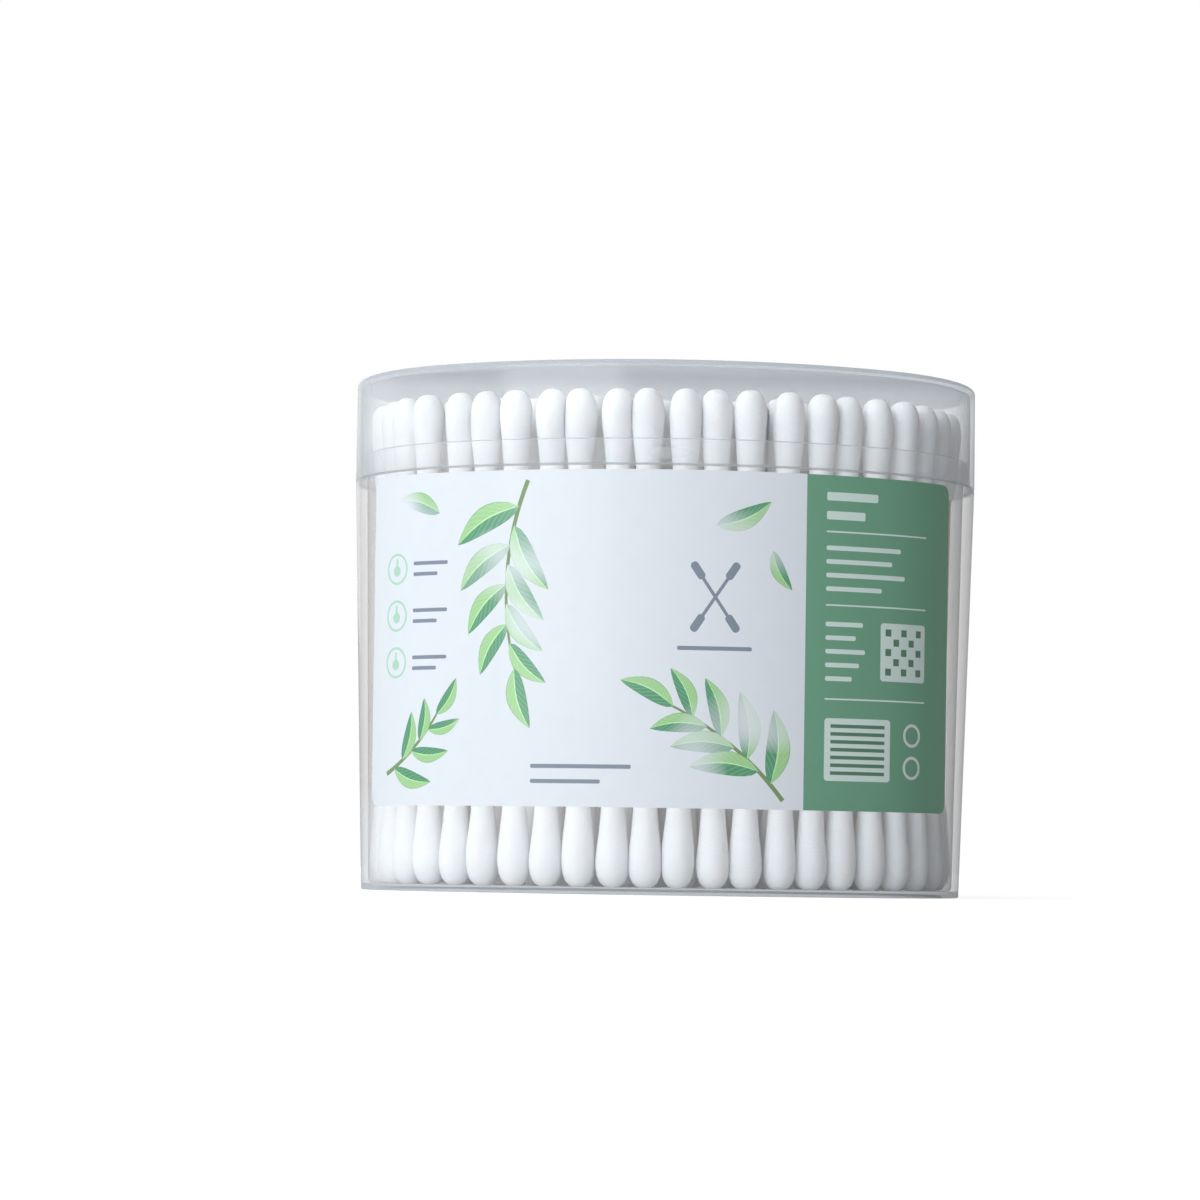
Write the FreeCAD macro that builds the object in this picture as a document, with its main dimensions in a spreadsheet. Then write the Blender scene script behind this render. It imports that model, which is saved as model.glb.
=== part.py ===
"""Oval clear-plastic tub of cotton swabs, with a lift-off lid and a paper label round the front.

The frame: the origin is at the middle of the base on the table, +Z is up, the label faces -Y and the
long side of the oval lies along X. All sizes are in millimetres.
"""
import FreeCAD, Part
import math
import os
import Sketcher

Vector = FreeCAD.Vector

doc = FreeCAD.newDocument("cotton_swab_tub")

# Driving sizes
SIZES = [
    ("body_width", 96.0, "widest width, at the shoulder and the lid"),
    ("body_depth", 70.0, "front to back, at the shoulder and the lid"),
    ("end_radius", 30.0, "bend of the oval at its two ends, at the shoulder"),
    ("shoulder_height", 62.8, "table to the ledge that the lid rests on"),
    ("wall_taper", 2.0, "how far each side draws in from shoulder to base"),
    ("floor_level", 1.0, "table to the floor that the swabs stand on"),
    ("floor_wall", 1.1, "side wall thickness at the floor"),
    ("foot_width", 2.6, "width of the flat ring that the tub stands on"),
    ("foot_recess", 0.4, "rise of the base inside the foot ring"),
    ("neck_height", 4.0, "height of the rim above the shoulder"),
    ("neck_wall", 0.7, "wall thickness of the neck"),
    ("fit_gap", 0.3, "gap between the neck and the lid's skirt"),
    ("bead_length", 6.4, "length of a snap bead on the neck"),
    ("bead_height", 1.7, "height of a snap bead"),
    ("bead_proud", 0.15, "how far a snap bead stands out of the neck"),
    ("bead_level", 1.8, "middle of a snap bead above the shoulder"),
    ("lid_wall", 0.7, "skirt thickness"),
    ("lid_plate", 0.9, "thickness of the lid's top plate"),
    ("headspace", 2.9, "top of the swabs to the lid's plate"),
    ("lid_edge", 0.7, "broken top edge of the lid"),
    ("label_width", 86.4, "width of the label seen from the front"),
    ("label_shift", -0.7, "middle of the label to the right of the tub's"),
    ("label_bottom", 12.7, "table to the label's lower edge"),
    ("label_drop", 0.8, "shoulder down to the label's upper edge"),
    ("label_corner", 1.6, "corner radius of the label"),
    ("glue_gap", 0.05, "adhesive between the wall and the paper"),
    ("paper_thickness", 0.12, "thickness of the label"),
    ("swab_length", 73.5, "end to end of a swab"),
    ("stick_diameter", 2.2, "bamboo stick"),
    ("tip_diameter", 4.7, "cotton tip at its widest"),
    ("tip_length", 13.5, "length of a cotton tip"),
    ("tip_widest", 3.4, "end of a tip to its widest place"),
    ("tip_end_diameter", 2.9, "cotton tip at its rounded end"),
    ("tip_neck_diameter", 3.2, "cotton tip where it closes on the stick"),
    ("swab_gap", 0.2, "least gap between two swabs"),
]

sheet = doc.addObject("Spreadsheet::Sheet", "sizes")
for row, (alias, value, meaning) in enumerate(SIZES, start=1):
    sheet.set(f"A{row}", alias)
    sheet.set(f"B{row}", str(value))
    sheet.set(f"C{row}", meaning)
    sheet.setAlias(f"B{row}", alias)
doc.recompute()

# How a sketch counts the points of a curve, and its own two axes and origin
START, END, CENTRE = range(1, 4)
LEVEL_AXIS, UPRIGHT_AXIS = range(-1, -3, -1)
ORIGIN = (LEVEL_AXIS, START)

# The oval at the shoulder is four arcs that meet smoothly: these give its half sizes, the distance
# of each end arc's middle from the centre, and the bend of its long sides
HALF_WIDTH = "(sizes.body_width / 2)"
HALF_DEPTH = "(sizes.body_depth / 2)"
END_OFFSET = f"({HALF_WIDTH} - sizes.end_radius)"
SIDE_RADIUS = (
    f"(({END_OFFSET} ^ 2 + {HALF_DEPTH} ^ 2 - sizes.end_radius ^ 2)"
    f" / (2 * ({HALF_DEPTH} - sizes.end_radius)))"
)

# Insets of the other ovals from it, and the main levels
BASE_INSET = "sizes.wall_taper"
FLOOR_INSET = (
    "sizes.wall_taper * (1 - sizes.floor_level / sizes.shoulder_height) + sizes.floor_wall"
)
NECK_INSET = "(sizes.lid_wall + sizes.fit_gap)"
MOUTH_INSET = "(sizes.lid_wall + sizes.fit_gap + sizes.neck_wall)"
RIM_LEVEL = "sizes.shoulder_height + sizes.neck_height"
LID_CEILING = "(sizes.floor_level + sizes.swab_length + sizes.headspace)"
LID_TOP = f"({LID_CEILING} + sizes.lid_plate)"
LABEL_BOTTOM = "sizes.label_bottom"
LABEL_TOP = "sizes.shoulder_height - sizes.label_drop"
SWAB_PITCH = "sizes.tip_diameter + sizes.swab_gap"
BEAD_LEVEL = "sizes.shoulder_height + sizes.bead_level"
BEAD_BEND = "(sizes.bead_length ^ 2 + sizes.bead_height ^ 2) / (4 * sizes.bead_height)"

# Flat sides round a stick and round a tip, and bands along a tip: more on the ring that shows
# through the wall
STICK_SIDES = 3
RING_TIP_SIDES = 5
RING_BANDS = 2
ROW_TIP_SIDES = 4
ROW_BANDS = 1

# Groups that the rows of inner swabs are shared out between, front to back
GROUP_COUNT = 6


def measure(expression):
    """The value of an expression on the sheet, in millimetres."""
    return float(sheet.evalExpression(expression))


def plane(body, role):
    """One of a body's own origin planes, found by its role."""
    return next(item for item in body.Origin.OriginFeatures if item.Role == role)


def new_body(label):
    """An empty body under its own label."""
    body = doc.addObject("PartDesign::Body", label)
    body.Label = label
    return body


def drive(sketch, expression, kind, *geometry):
    """A dimension on a sketch, bound to an expression on the sheet."""
    index = sketch.addConstraint(Sketcher.Constraint(kind, *geometry, measure(expression)))
    sketch.setExpression(f"Constraints[{index}]", expression)


def oval_arcs(inset):
    """The four arcs of an oval that lies an inset inside the shoulder's: right, back, left, front."""
    end_radius = measure(f"sizes.end_radius - ({inset})")
    side_radius = measure(f"{SIDE_RADIUS} - ({inset})")
    end_offset = measure(END_OFFSET)
    side_offset = measure(f"{SIDE_RADIUS} - {HALF_DEPTH}")
    turn = math.atan2(side_offset, end_offset)
    arcs = []
    for centre, radius, start, end in (
        (Vector(end_offset, 0, 0), end_radius, -turn, turn),
        (Vector(0, -side_offset, 0), side_radius, turn, math.pi - turn),
        (Vector(-end_offset, 0, 0), end_radius, math.pi - turn, math.pi + turn),
        (Vector(0, side_offset, 0), side_radius, math.pi + turn, 2 * math.pi - turn),
    ):
        circle = Part.Circle(centre, Vector(0, 0, 1), radius)
        arcs.append(Part.ArcOfCircle(circle, start, end))
    return arcs


def oval_sketch(body, name, level, inset):
    """A level oval, an inset inside the shoulder's."""
    sketch = body.newObject("Sketcher::SketchObject", name)
    sketch.AttachmentSupport = [(plane(body, "XY_Plane"), "")]
    sketch.MapMode = "FlatFace"
    sketch.setExpression("AttachmentOffset.Base.z", level)
    right, back, left, front = [sketch.addGeometry(arc, False) for arc in oval_arcs(inset)]
    sketch.addConstraint(Sketcher.Constraint("Tangent", right, END, back, START))
    sketch.addConstraint(Sketcher.Constraint("Coincident", back, END, left, START))
    sketch.addConstraint(Sketcher.Constraint("Coincident", left, END, front, START))
    sketch.addConstraint(Sketcher.Constraint("Coincident", front, END, right, START))
    sketch.addConstraint(Sketcher.Constraint("Symmetric", back, START, back, END, UPRIGHT_AXIS))
    sketch.addConstraint(Sketcher.Constraint("Symmetric", right, START, right, END, LEVEL_AXIS))
    sketch.addConstraint(Sketcher.Constraint("Symmetric", left, START, left, END, LEVEL_AXIS))
    sketch.addConstraint(Sketcher.Constraint("Equal", right, left))
    sketch.addConstraint(Sketcher.Constraint("Equal", back, front))
    drive(sketch, f"2 * {END_OFFSET}", "DistanceX", left, CENTRE, right, CENTRE)
    drive(sketch, f"sizes.end_radius - ({inset})", "Radius", right)
    drive(sketch, f"{SIDE_RADIUS} - ({inset})", "Radius", back)
    return sketch


def front_sketch(body, name):
    """A sketch on the upright plane through the middle, drawn as seen from the front."""
    sketch = body.newObject("Sketcher::SketchObject", name)
    sketch.AttachmentSupport = [(plane(body, "XZ_Plane"), "")]
    sketch.MapMode = "FlatFace"
    return sketch


def loft(body, kind, name, low, high):
    """A straight-sided loft between two level ovals, added or cut."""
    feature = body.newObject(f"PartDesign::{kind}Loft", name)
    feature.Profile = low
    feature.Sections = [high]
    doc.recompute()
    return feature


def pad(body, name, sketch, length):
    """A straight pad of a sketch along its normal."""
    feature = body.newObject("PartDesign::Pad", name)
    feature.Profile = sketch
    feature.setExpression("Length", length)
    doc.recompute()
    return feature


def pocket(body, name, sketch, length, reversed_way=False, midplane=False):
    """A straight cut of a sketch, against its normal, along it or to both sides."""
    feature = body.newObject("PartDesign::Pocket", name)
    feature.Profile = sketch
    feature.Reversed = reversed_way
    feature.Midplane = midplane
    feature.setExpression("Length", length)
    doc.recompute()
    return feature


def level_edges(shape, level):
    """Names of a shape's edges that lie level at one height."""
    tolerance = 0.001
    height = measure(level)
    names = []
    for index, edge in enumerate(shape.Edges, start=1):
        heights = [point.z for point in edge.discretize(Number=5)]
        if max(abs(z - height) for z in heights) < tolerance:
            names.append(f"Edge{index}")
    return names


def break_edge(body, name, base, level, width):
    """A chamfer along every edge of a shape that lies level at one height."""
    feature = body.newObject("PartDesign::Chamfer", name)
    feature.Base = (base, level_edges(base.Shape, level))
    feature.setExpression("Size", width)
    doc.recompute()
    return feature


def make_tub():
    """The tub: a drafted oval cup with a foot ring, a shoulder and a thin neck with two snap beads."""
    body = new_body("tub")
    base = oval_sketch(body, "tub_base_outline", "0", BASE_INSET)
    shoulder = oval_sketch(body, "tub_shoulder_outline", "sizes.shoulder_height", "0")
    loft(body, "Additive", "tub_outer_wall", base, shoulder)
    neck = oval_sketch(body, "neck_outline", "sizes.shoulder_height", NECK_INSET)
    pad(body, "neck", neck, "sizes.neck_height")
    floor = oval_sketch(body, "floor_outline", "sizes.floor_level", FLOOR_INSET)
    mouth = oval_sketch(body, "mouth_outline", RIM_LEVEL, MOUTH_INSET)
    loft(body, "Subtractive", "hollow", floor, mouth)
    recess = oval_sketch(body, "recess_outline", "0", f"{BASE_INSET} + sizes.foot_width")
    pocket(body, "foot_recess", recess, "sizes.foot_recess", reversed_way=True)
    bead = make_bead(body)
    mirrored = body.newObject("PartDesign::Mirrored", "back_bead")
    mirrored.Originals = [bead]
    mirrored.MirrorPlane = (plane(body, "XZ_Plane"), [""])
    body.Tip = mirrored
    doc.recompute()
    return body


def make_bead(body):
    """The front snap bead: a lens of two arcs, raised from the neck."""
    half_length = measure("sizes.bead_length / 2")
    half_height = measure("sizes.bead_height / 2")
    level = measure(BEAD_LEVEL)
    sketch = front_sketch(body, "bead_outline")
    left = Vector(-half_length, level, 0)
    right = Vector(half_length, level, 0)
    upper_arc = Part.Arc(right, Vector(0, level + half_height, 0), left)
    lower_arc = Part.Arc(left, Vector(0, level - half_height, 0), right)
    upper = sketch.addGeometry(upper_arc, False)
    lower = sketch.addGeometry(lower_arc, False)
    sketch.addConstraint(Sketcher.Constraint("Coincident", upper, START, lower, END))
    sketch.addConstraint(Sketcher.Constraint("Coincident", upper, END, lower, START))
    sketch.addConstraint(Sketcher.Constraint("Symmetric", lower, START, lower, END, UPRIGHT_AXIS))
    sketch.addConstraint(Sketcher.Constraint("Equal", upper, lower))
    drive(sketch, "sizes.bead_length", "DistanceX", lower, START, lower, END)
    drive(sketch, BEAD_LEVEL, "DistanceY", *ORIGIN, lower, START)
    drive(sketch, BEAD_BEND, "Radius", lower)
    # the bead is rooted in the middle of the neck's wall
    sketch.setExpression(
        "AttachmentOffset.Base.z", f"{HALF_DEPTH} - {NECK_INSET} - sizes.neck_wall / 2"
    )
    return pad(body, "front_bead", sketch, "sizes.neck_wall / 2 + sizes.bead_proud")


def make_lid():
    """The lid: a flat plate with a straight skirt, flush with the tub at the shoulder."""
    body = new_body("lid")
    outline = oval_sketch(body, "lid_outline", "sizes.shoulder_height", "0")
    block = pad(body, "lid_block", outline, f"{LID_TOP} - sizes.shoulder_height")
    break_edge(body, "lid_edge", block, LID_TOP, "sizes.lid_edge")
    inside = oval_sketch(body, "lid_inside_outline", "sizes.shoulder_height", "sizes.lid_wall")
    depth = f"{LID_CEILING} - sizes.shoulder_height"
    pocket(body, "lid_hollow", inside, depth, reversed_way=True)
    return body


def make_label():
    """The label: paper that follows the drafted wall, cut to a rectangle with round corners."""
    body = new_body("label")
    back = "-sizes.glue_gap"
    face = "-sizes.glue_gap - sizes.paper_thickness"
    face_low = oval_sketch(body, "face_low", "0", f"{BASE_INSET} {face}")
    face_high = oval_sketch(body, "face_high", "sizes.shoulder_height", face)
    loft(body, "Additive", "printed_face", face_low, face_high)
    back_low = oval_sketch(body, "back_low", "0", f"{BASE_INSET} {back}")
    back_high = oval_sketch(body, "back_high", "sizes.shoulder_height", back)
    loft(body, "Subtractive", "glued_back", back_low, back_high)
    trim = front_sketch(body, "label_outline")
    trim.setExpression("AttachmentOffset.Base.x", "sizes.label_shift")
    rounded_rectangle(trim, "sizes.label_width", LABEL_BOTTOM, LABEL_TOP, "sizes.label_corner")
    plain_rectangle(trim, "sizes.body_width * 2", "-sizes.shoulder_height", LID_TOP)
    pocket(body, "label_trim", trim, "sizes.body_depth * 2", midplane=True)
    rear = front_sketch(body, "rear_half")
    plain_rectangle(rear, "sizes.body_width * 2", "-sizes.shoulder_height", LID_TOP)
    pocket(body, "front_only", rear, "sizes.body_depth")
    return body


def rectangle_sides(sketch, half_width, low, high, corner):
    """Four lines round a rectangle, anticlockwise from the bottom, centred on the upright axis."""
    ends = [
        (Vector(corner - half_width, low, 0), Vector(half_width - corner, low, 0)),
        (Vector(half_width, low + corner, 0), Vector(half_width, high - corner, 0)),
        (Vector(half_width - corner, high, 0), Vector(corner - half_width, high, 0)),
        (Vector(-half_width, high - corner, 0), Vector(-half_width, low + corner, 0)),
    ]
    sides = [sketch.addGeometry(Part.LineSegment(*pair), False) for pair in ends]
    bottom, right, top, left = sides
    sketch.addConstraint(Sketcher.Constraint("Symmetric", bottom, START, bottom, END, UPRIGHT_AXIS))
    sketch.addConstraint(Sketcher.Constraint("Horizontal", top))
    sketch.addConstraint(Sketcher.Constraint("Vertical", right))
    sketch.addConstraint(Sketcher.Constraint("Vertical", left))
    return sides


def place_rectangle(sketch, sides, width, low, high):
    """Drive a rectangle's width and its two levels."""
    bottom, right, top, left = sides
    drive(sketch, width, "DistanceX", left, START, right, END)
    drive(sketch, low, "DistanceY", *ORIGIN, bottom, START)
    drive(sketch, high, "DistanceY", *ORIGIN, top, START)


def plain_rectangle(sketch, width, low, high):
    """A rectangle with sharp corners, centred on the upright axis."""
    sides = rectangle_sides(sketch, measure(width) / 2, measure(low), measure(high), 0)
    for side, following in zip(sides, sides[1:] + sides[:1]):
        sketch.addConstraint(Sketcher.Constraint("Coincident", side, END, following, START))
    place_rectangle(sketch, sides, width, low, high)


def rounded_rectangle(sketch, width, low, high, corner):
    """A rectangle with round corners, centred on the upright axis."""
    radius = measure(corner)
    half_width = measure(width) / 2
    bottom_level = measure(low)
    top_level = measure(high)
    sides = rectangle_sides(sketch, half_width, bottom_level, top_level, radius)
    centres = [
        Vector(half_width - radius, bottom_level + radius, 0),
        Vector(half_width - radius, top_level - radius, 0),
        Vector(radius - half_width, top_level - radius, 0),
        Vector(radius - half_width, bottom_level + radius, 0),
    ]
    corners = []
    for turn, centre in enumerate(centres):
        circle = Part.Circle(centre, Vector(0, 0, 1), radius)
        start = math.radians(90 * (turn - 1))
        corners.append(sketch.addGeometry(Part.ArcOfCircle(circle, start, start + math.pi / 2)))
    for side, bend, following in zip(sides, corners, sides[1:] + sides[:1]):
        sketch.addConstraint(Sketcher.Constraint("Tangent", side, END, bend, START))
        sketch.addConstraint(Sketcher.Constraint("Tangent", bend, END, following, START))
    for bend in corners[1:]:
        sketch.addConstraint(Sketcher.Constraint("Equal", corners[0], bend))
    drive(sketch, corner, "Radius", corners[0])
    place_rectangle(sketch, sides, width, low, high)


def faceted_solid(rings, sides, centre):
    """An upright solid of flat facets through rings of (level, radius), each a regular polygon."""
    loops = []
    for level, radius in rings:
        loop = []
        for step in range(sides):
            angle = 2 * math.pi * step / sides
            reach = Vector(radius * math.cos(angle), radius * math.sin(angle), level)
            loop.append(centre + reach)
        loops.append(loop)
    faces = [Part.Face(Part.makePolygon(loop + loop[:1])) for loop in (loops[0], loops[-1])]
    for low, high in zip(loops, loops[1:]):
        for step in range(sides):
            after = (step + 1) % sides
            corners = [low[step], low[after], high[after], high[step], low[step]]
            faces.append(Part.Face(Part.makePolygon(corners)))
    return Part.Solid(Part.Shell(faces))


def tip_rings(upside_down, bands):
    """The outline of a cotton tip: its rounded end, its widest ring and its close on the stick."""
    outline = [
        (0, measure("sizes.tip_end_diameter / 2")),
        (measure("sizes.tip_widest"), measure("sizes.tip_diameter / 2")),
        (measure("sizes.tip_length"), measure("sizes.tip_neck_diameter / 2")),
    ]
    if bands == 1:
        outline = [(0, outline[1][1]), outline[2]]
    foot = measure("sizes.floor_level")
    if upside_down:
        head = foot + measure("sizes.swab_length")
        return [(head - level, radius) for level, radius in reversed(outline)]
    return [(foot + level, radius) for level, radius in outline]


def swab_group(name, centres, tip_sides, bands):
    """Swabs at the given centres: one piece that holds their sticks, one their cotton tips."""
    foot = measure("sizes.floor_level + sizes.tip_length")
    head = measure("sizes.floor_level + sizes.swab_length - sizes.tip_length")
    radius = measure("sizes.stick_diameter / 2")
    stick_outline = [(foot, radius), (head, radius)]
    sticks = [faceted_solid(stick_outline, STICK_SIDES, centre) for centre in centres]
    tips = []
    for centre in centres:
        tips.append(faceted_solid(tip_rings(False, bands), tip_sides, centre))
        tips.append(faceted_solid(tip_rings(True, bands), tip_sides, centre))
    pieces = []
    for kind, solids in (("sticks", sticks), ("tips", tips)):
        feature = doc.addObject("Part::Feature", f"{name}_{kind}")
        feature.Label = f"{name}_{kind}"
        feature.Shape = Part.makeCompound(solids)
        pieces.append(feature)
    return pieces


def ring_centres():
    """Places along the inner wall, evenly spaced round an oval one tip's radius inside it."""
    arcs = oval_arcs(f"{FLOOR_INSET} + sizes.tip_diameter / 2 + sizes.swab_gap")
    path = Part.Wire([arc.toShape() for arc in arcs])
    count = int(path.Length / measure(SWAB_PITCH))
    return path.discretize(Number=count + 1)[:count]


def row_centres(ring):
    """Rows of close-packed places inside the ring, front to back, each clear of the ring."""
    pitch = measure(SWAB_PITCH)
    row_step = pitch * math.sqrt(3) / 2
    inside = Part.Face(Part.makePolygon(ring + ring[:1]))
    half_rows = int(inside.BoundBox.YMax / row_step)
    half_places = math.ceil(inside.BoundBox.XMax / pitch)
    rows = []
    for row in range(-half_rows, half_rows + 1):
        shift = pitch / 2 * (row % 2)
        places = range(-half_places, half_places + 1)
        line = [Vector(place * pitch + shift, row * row_step, 0) for place in places]
        within = [point for point in line if inside.isInside(point, 0.01, True)]
        clear = [point for point in within if nearest(point, ring) >= pitch]
        if clear:
            rows.append(clear)
    return rows


def nearest(point, others):
    """The distance from a point to the nearest of some others."""
    return min(point.distanceToPoint(other) for other in others)


def row_groups(rows):
    """The rows shared out between the groups, as evenly as whole rows allow."""
    bounds = [len(rows) * group // GROUP_COUNT for group in range(GROUP_COUNT + 1)]
    return [sum(rows[low:high], []) for low, high in zip(bounds, bounds[1:])]


def make_swabs():
    """The swabs: a ring along the wall, and rows inside it."""
    ring = ring_centres()
    pieces = swab_group("outer_ring", ring, RING_TIP_SIDES, RING_BANDS)
    for index, centres in enumerate(row_groups(row_centres(ring)), start=1):
        pieces += swab_group(f"inner_{index}", centres, ROW_TIP_SIDES, ROW_BANDS)
    return pieces


def check(pieces):
    """Stop on a failed object or an unsound shape."""
    for item in doc.Objects:
        if "Invalid" in item.State or "Error" in item.State:
            raise RuntimeError(f"{item.Name} failed: {item.State}")
    for piece in pieces:
        if piece.Shape.isNull() or not piece.Shape.isValid():
            raise RuntimeError(f"{piece.Label} has no sound shape")


pieces = [make_tub(), make_lid(), make_label()] + make_swabs()
doc.recompute()
check(pieces)
os.makedirs("parts", exist_ok=True)
for piece in pieces:
    piece.Shape.exportStep(f"parts/{piece.Label}.step")
    box = piece.Shape.BoundBox
    solids = len(piece.Shape.Solids)
    print(piece.Label, solids, "solids", round(piece.Shape.Volume, 1), "mm3", "z", box.ZMin, box.ZMax)
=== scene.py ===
"""Looks of the oval tub of cotton swabs: clear plastic, printed label, bamboo sticks and cotton.

Lengths in the panel are metres, as in the frame. The label faces -Y and +Z is up.
"""
import math
import random

import bmesh
import bpy
from mathutils import Matrix, Vector


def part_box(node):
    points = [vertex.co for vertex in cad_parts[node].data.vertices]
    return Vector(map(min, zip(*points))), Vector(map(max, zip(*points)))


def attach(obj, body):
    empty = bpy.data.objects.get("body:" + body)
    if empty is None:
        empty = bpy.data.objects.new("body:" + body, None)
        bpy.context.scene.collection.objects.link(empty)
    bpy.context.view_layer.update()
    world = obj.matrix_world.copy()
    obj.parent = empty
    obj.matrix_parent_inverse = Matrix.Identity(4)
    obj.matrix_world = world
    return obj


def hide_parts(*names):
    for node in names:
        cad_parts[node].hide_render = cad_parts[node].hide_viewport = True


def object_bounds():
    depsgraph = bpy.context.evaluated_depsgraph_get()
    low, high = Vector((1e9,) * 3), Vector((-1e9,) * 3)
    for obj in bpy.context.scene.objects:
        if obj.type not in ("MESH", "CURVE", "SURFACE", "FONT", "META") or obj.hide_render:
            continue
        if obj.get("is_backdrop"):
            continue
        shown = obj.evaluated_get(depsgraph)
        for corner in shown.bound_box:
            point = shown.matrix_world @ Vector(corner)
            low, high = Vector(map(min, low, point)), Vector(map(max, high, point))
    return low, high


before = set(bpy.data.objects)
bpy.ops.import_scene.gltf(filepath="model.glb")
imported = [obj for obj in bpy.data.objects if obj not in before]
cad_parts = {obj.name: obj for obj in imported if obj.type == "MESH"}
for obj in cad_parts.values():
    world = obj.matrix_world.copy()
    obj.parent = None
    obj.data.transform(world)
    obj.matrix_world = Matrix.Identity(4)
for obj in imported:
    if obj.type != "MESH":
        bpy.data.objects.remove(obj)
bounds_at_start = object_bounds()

bl_info = {
    "name": "Cotton swab tub",
    "version": (1, 0, 0),
    "blender": (4, 2, 0),
    "location": "View3D > Sidebar > Swab tub",
    "description": "Clear oval tub of cotton swabs with a lid and a printed label",
    "category": "Add Mesh",
}

MM = 0.001
FULL_TURN = 2 * math.pi
UP = Vector((0, 0, 1))

# The places that the frame gives
TUB_LOW, TUB_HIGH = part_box("tub")
LID_LOW, LID_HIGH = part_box("lid")
LABEL_LOW, LABEL_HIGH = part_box("label")
TIPS_LOW, TIPS_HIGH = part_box("outer_ring_tips")
STICKS_LOW, STICKS_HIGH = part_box("outer_ring_sticks")
SHOULDER = LID_LOW.z
RIM = TUB_HIGH.z
LID_TOP = LID_HIGH.z
FLOOR = TIPS_LOW.z
HALF_WIDTH = LID_HIGH.x
HALF_DEPTH = LID_HIGH.y

# Bodies of the frame, and finishes of a moulded shell: its walls, its edges and the lid's plate
TUB_BODY = "tub_body"
LID_BODY = "lid_body"
CLEAR = 0
EDGE = 1
PLATE = 2

# Points closer than this are one, and edges bent more than this stay sharp
MERGE = 1e-7
SHARP = math.radians(40)

# Cells that a flat sheet is cut into before it is laid on the wall
ACROSS_CELL = 1.0 * MM
UP_CELL = 5.0 * MM

# Haze of the plastic, seen head on and along its face
TUB_MIST = (0.11, 0.75)
LID_MIST = (0.07, 0.8)
EDGE_MIST = (0.5, 0.85)

# The lid's plate: its haze, how steeply that thickens, and the share of light passed on
PLATE_LOOK = ((0.05, 0.95), 6.0, 0.5)

# How far from its corner the middle of a two-face rounding lies, as a share of the rounding
PART = 0.3

# Inner corners of the tub's floor and of the lid's plate, and steps in the lid's top rounding
FLOOR_CORNER = 0.6 * MM
PLATE_CORNER = 0.5 * MM
LID_STEPS = 4

# Layers of print as shares of the ink's height, how far print over other print is lifted, how
# many heights leaves take by turns where they overlap, and the name of the leaves' own map
GROUND_LAYER = 0.4
LEAF_LAYER = 0.8
MARK_LAYER = 1.0
OVERPRINT = 0.004 * MM
LEAF_HEIGHTS = 3
LEAF_UV = "leaf"

# The second ink of a piece: the panel's shade, or the grey of the lines
SECOND_INK = 1

# A cotton tip's (distance from its end, radius) in mm: full beside the wall, plain inside
RING_TIP = (
    (0, 0), (0.06, 0.8), (0.35, 1.34), (0.9, 1.8), (1.8, 2.15), (3.0, 2.33), (4.2, 2.35),
    (6.0, 2.22), (8.0, 2.02), (10.2, 1.82), (12.2, 1.66), (13.2, 1.5), (13.5, 1.1),
)
INNER_TIP = ((0, 0), (0.4, 1.5), (2.6, 2.35), (7.0, 2.2), (12.8, 1.6), (13.5, 1.1))

# Sprigs: start (along, level), heading, length, bend, leaves and leaf length, in mm and degrees
SPRIGS = (
    ((-21.0, 60.5), -112, 29, 38, 8, 11.5),
    ((17.5, 14.0), 128, 22, 26, 7, 11.0),
    ((-45.8, 17.4), 24, 14, 34, 5, 8.0),
)
# Loose leaves: base (along, level), heading and length
LOOSE_LEAVES = (
    ((7.0, 54.0), 24, 9.0),
    ((15.5, 50.5), -62, 6.5),
    ((-35.5, 56.0), 165, 8.5),
)

# Marks on the paper, in mm: middles of the round marks, grey lines as (start, level, width), and
# the crossed swabs' middle, length and tilt from upright
ROUND_MARKS = ((-44.0, 48.0), (-44.0, 41.0), (-44.0, 34.0))
GREY_LINES = ((-20.0, 18.6, 15.0), (-20.0, 16.4, 10.5), (1.5, 36.0, 11.0))
CROSSED_AT = (7.0, 43.5)
CROSSED_LENGTH = 11.0
CROSSED_TILT = 34

# Marks on the green panel, in mm from its lower left: how far in they start, bars as half height
# and (level, width), levels of the dividers, then middles and half sizes of what is framed or ruled
PANEL_MARGIN = 3.2
PANEL_BARS = (
    (0.62, ((46.2, 8.6), (43.4, 6.4))),
    (0.34, (
        (38.6, 12.8), (36.6, 11.2), (34.6, 13.6), (32.6, 9.4),
        (27.4, 6.2), (25.4, 5.0), (23.4, 6.6), (21.4, 5.6), (19.4, 4.4),
    )),
)
DIVIDERS = (41.0, 30.2, 16.4)
DIVIDER_HALF = (9, 0.12)
SQUARE_AT = (13.6, 23.6)
SQUARE_HALF = (4.3, 4.3)
CELL_HALF = (0.52, 0.52)
CELL_PITCH = 1.45
RULED_AT = (5.6, 9.0)
RULED_HALF = (5.6, 4.6)
RULE_HALF = (4.6, 0.26)
RULE_PITCH = 1.15
RINGS_AT = ((15.4, 11.4), (15.4, 6.6))

# Least width of a tip and least lean to the wall, as shares of the most; how deep a tip's lumps
# are, and their twist along it; and how far a stick reaches into its tips
THINNEST = 0.97
LEAST_LEAN = 0.4
RING_LUMP = 0.05
INNER_LUMP = 0.03
LUMP_TWIST = 500
STICK_OVERLAP = 0.6 * MM

# Lamps as (place, size), and their tone
LAMPS = {
    "key": ((-0.57, -0.98, 0.4), (0.7, 0.9)),
    "rear": ((-0.1, 1.0, 0.5), (0.8, 0.8)),
    "top": ((-0.4, -0.05, 0.87), (0.8, 0.8)),
}
LAMP_TONE = (0.94, 0.97, 1.0)

# The camera's sensor in mm, and the nearest that it sees
SENSOR = 36
NEAREST = 0.01

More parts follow.
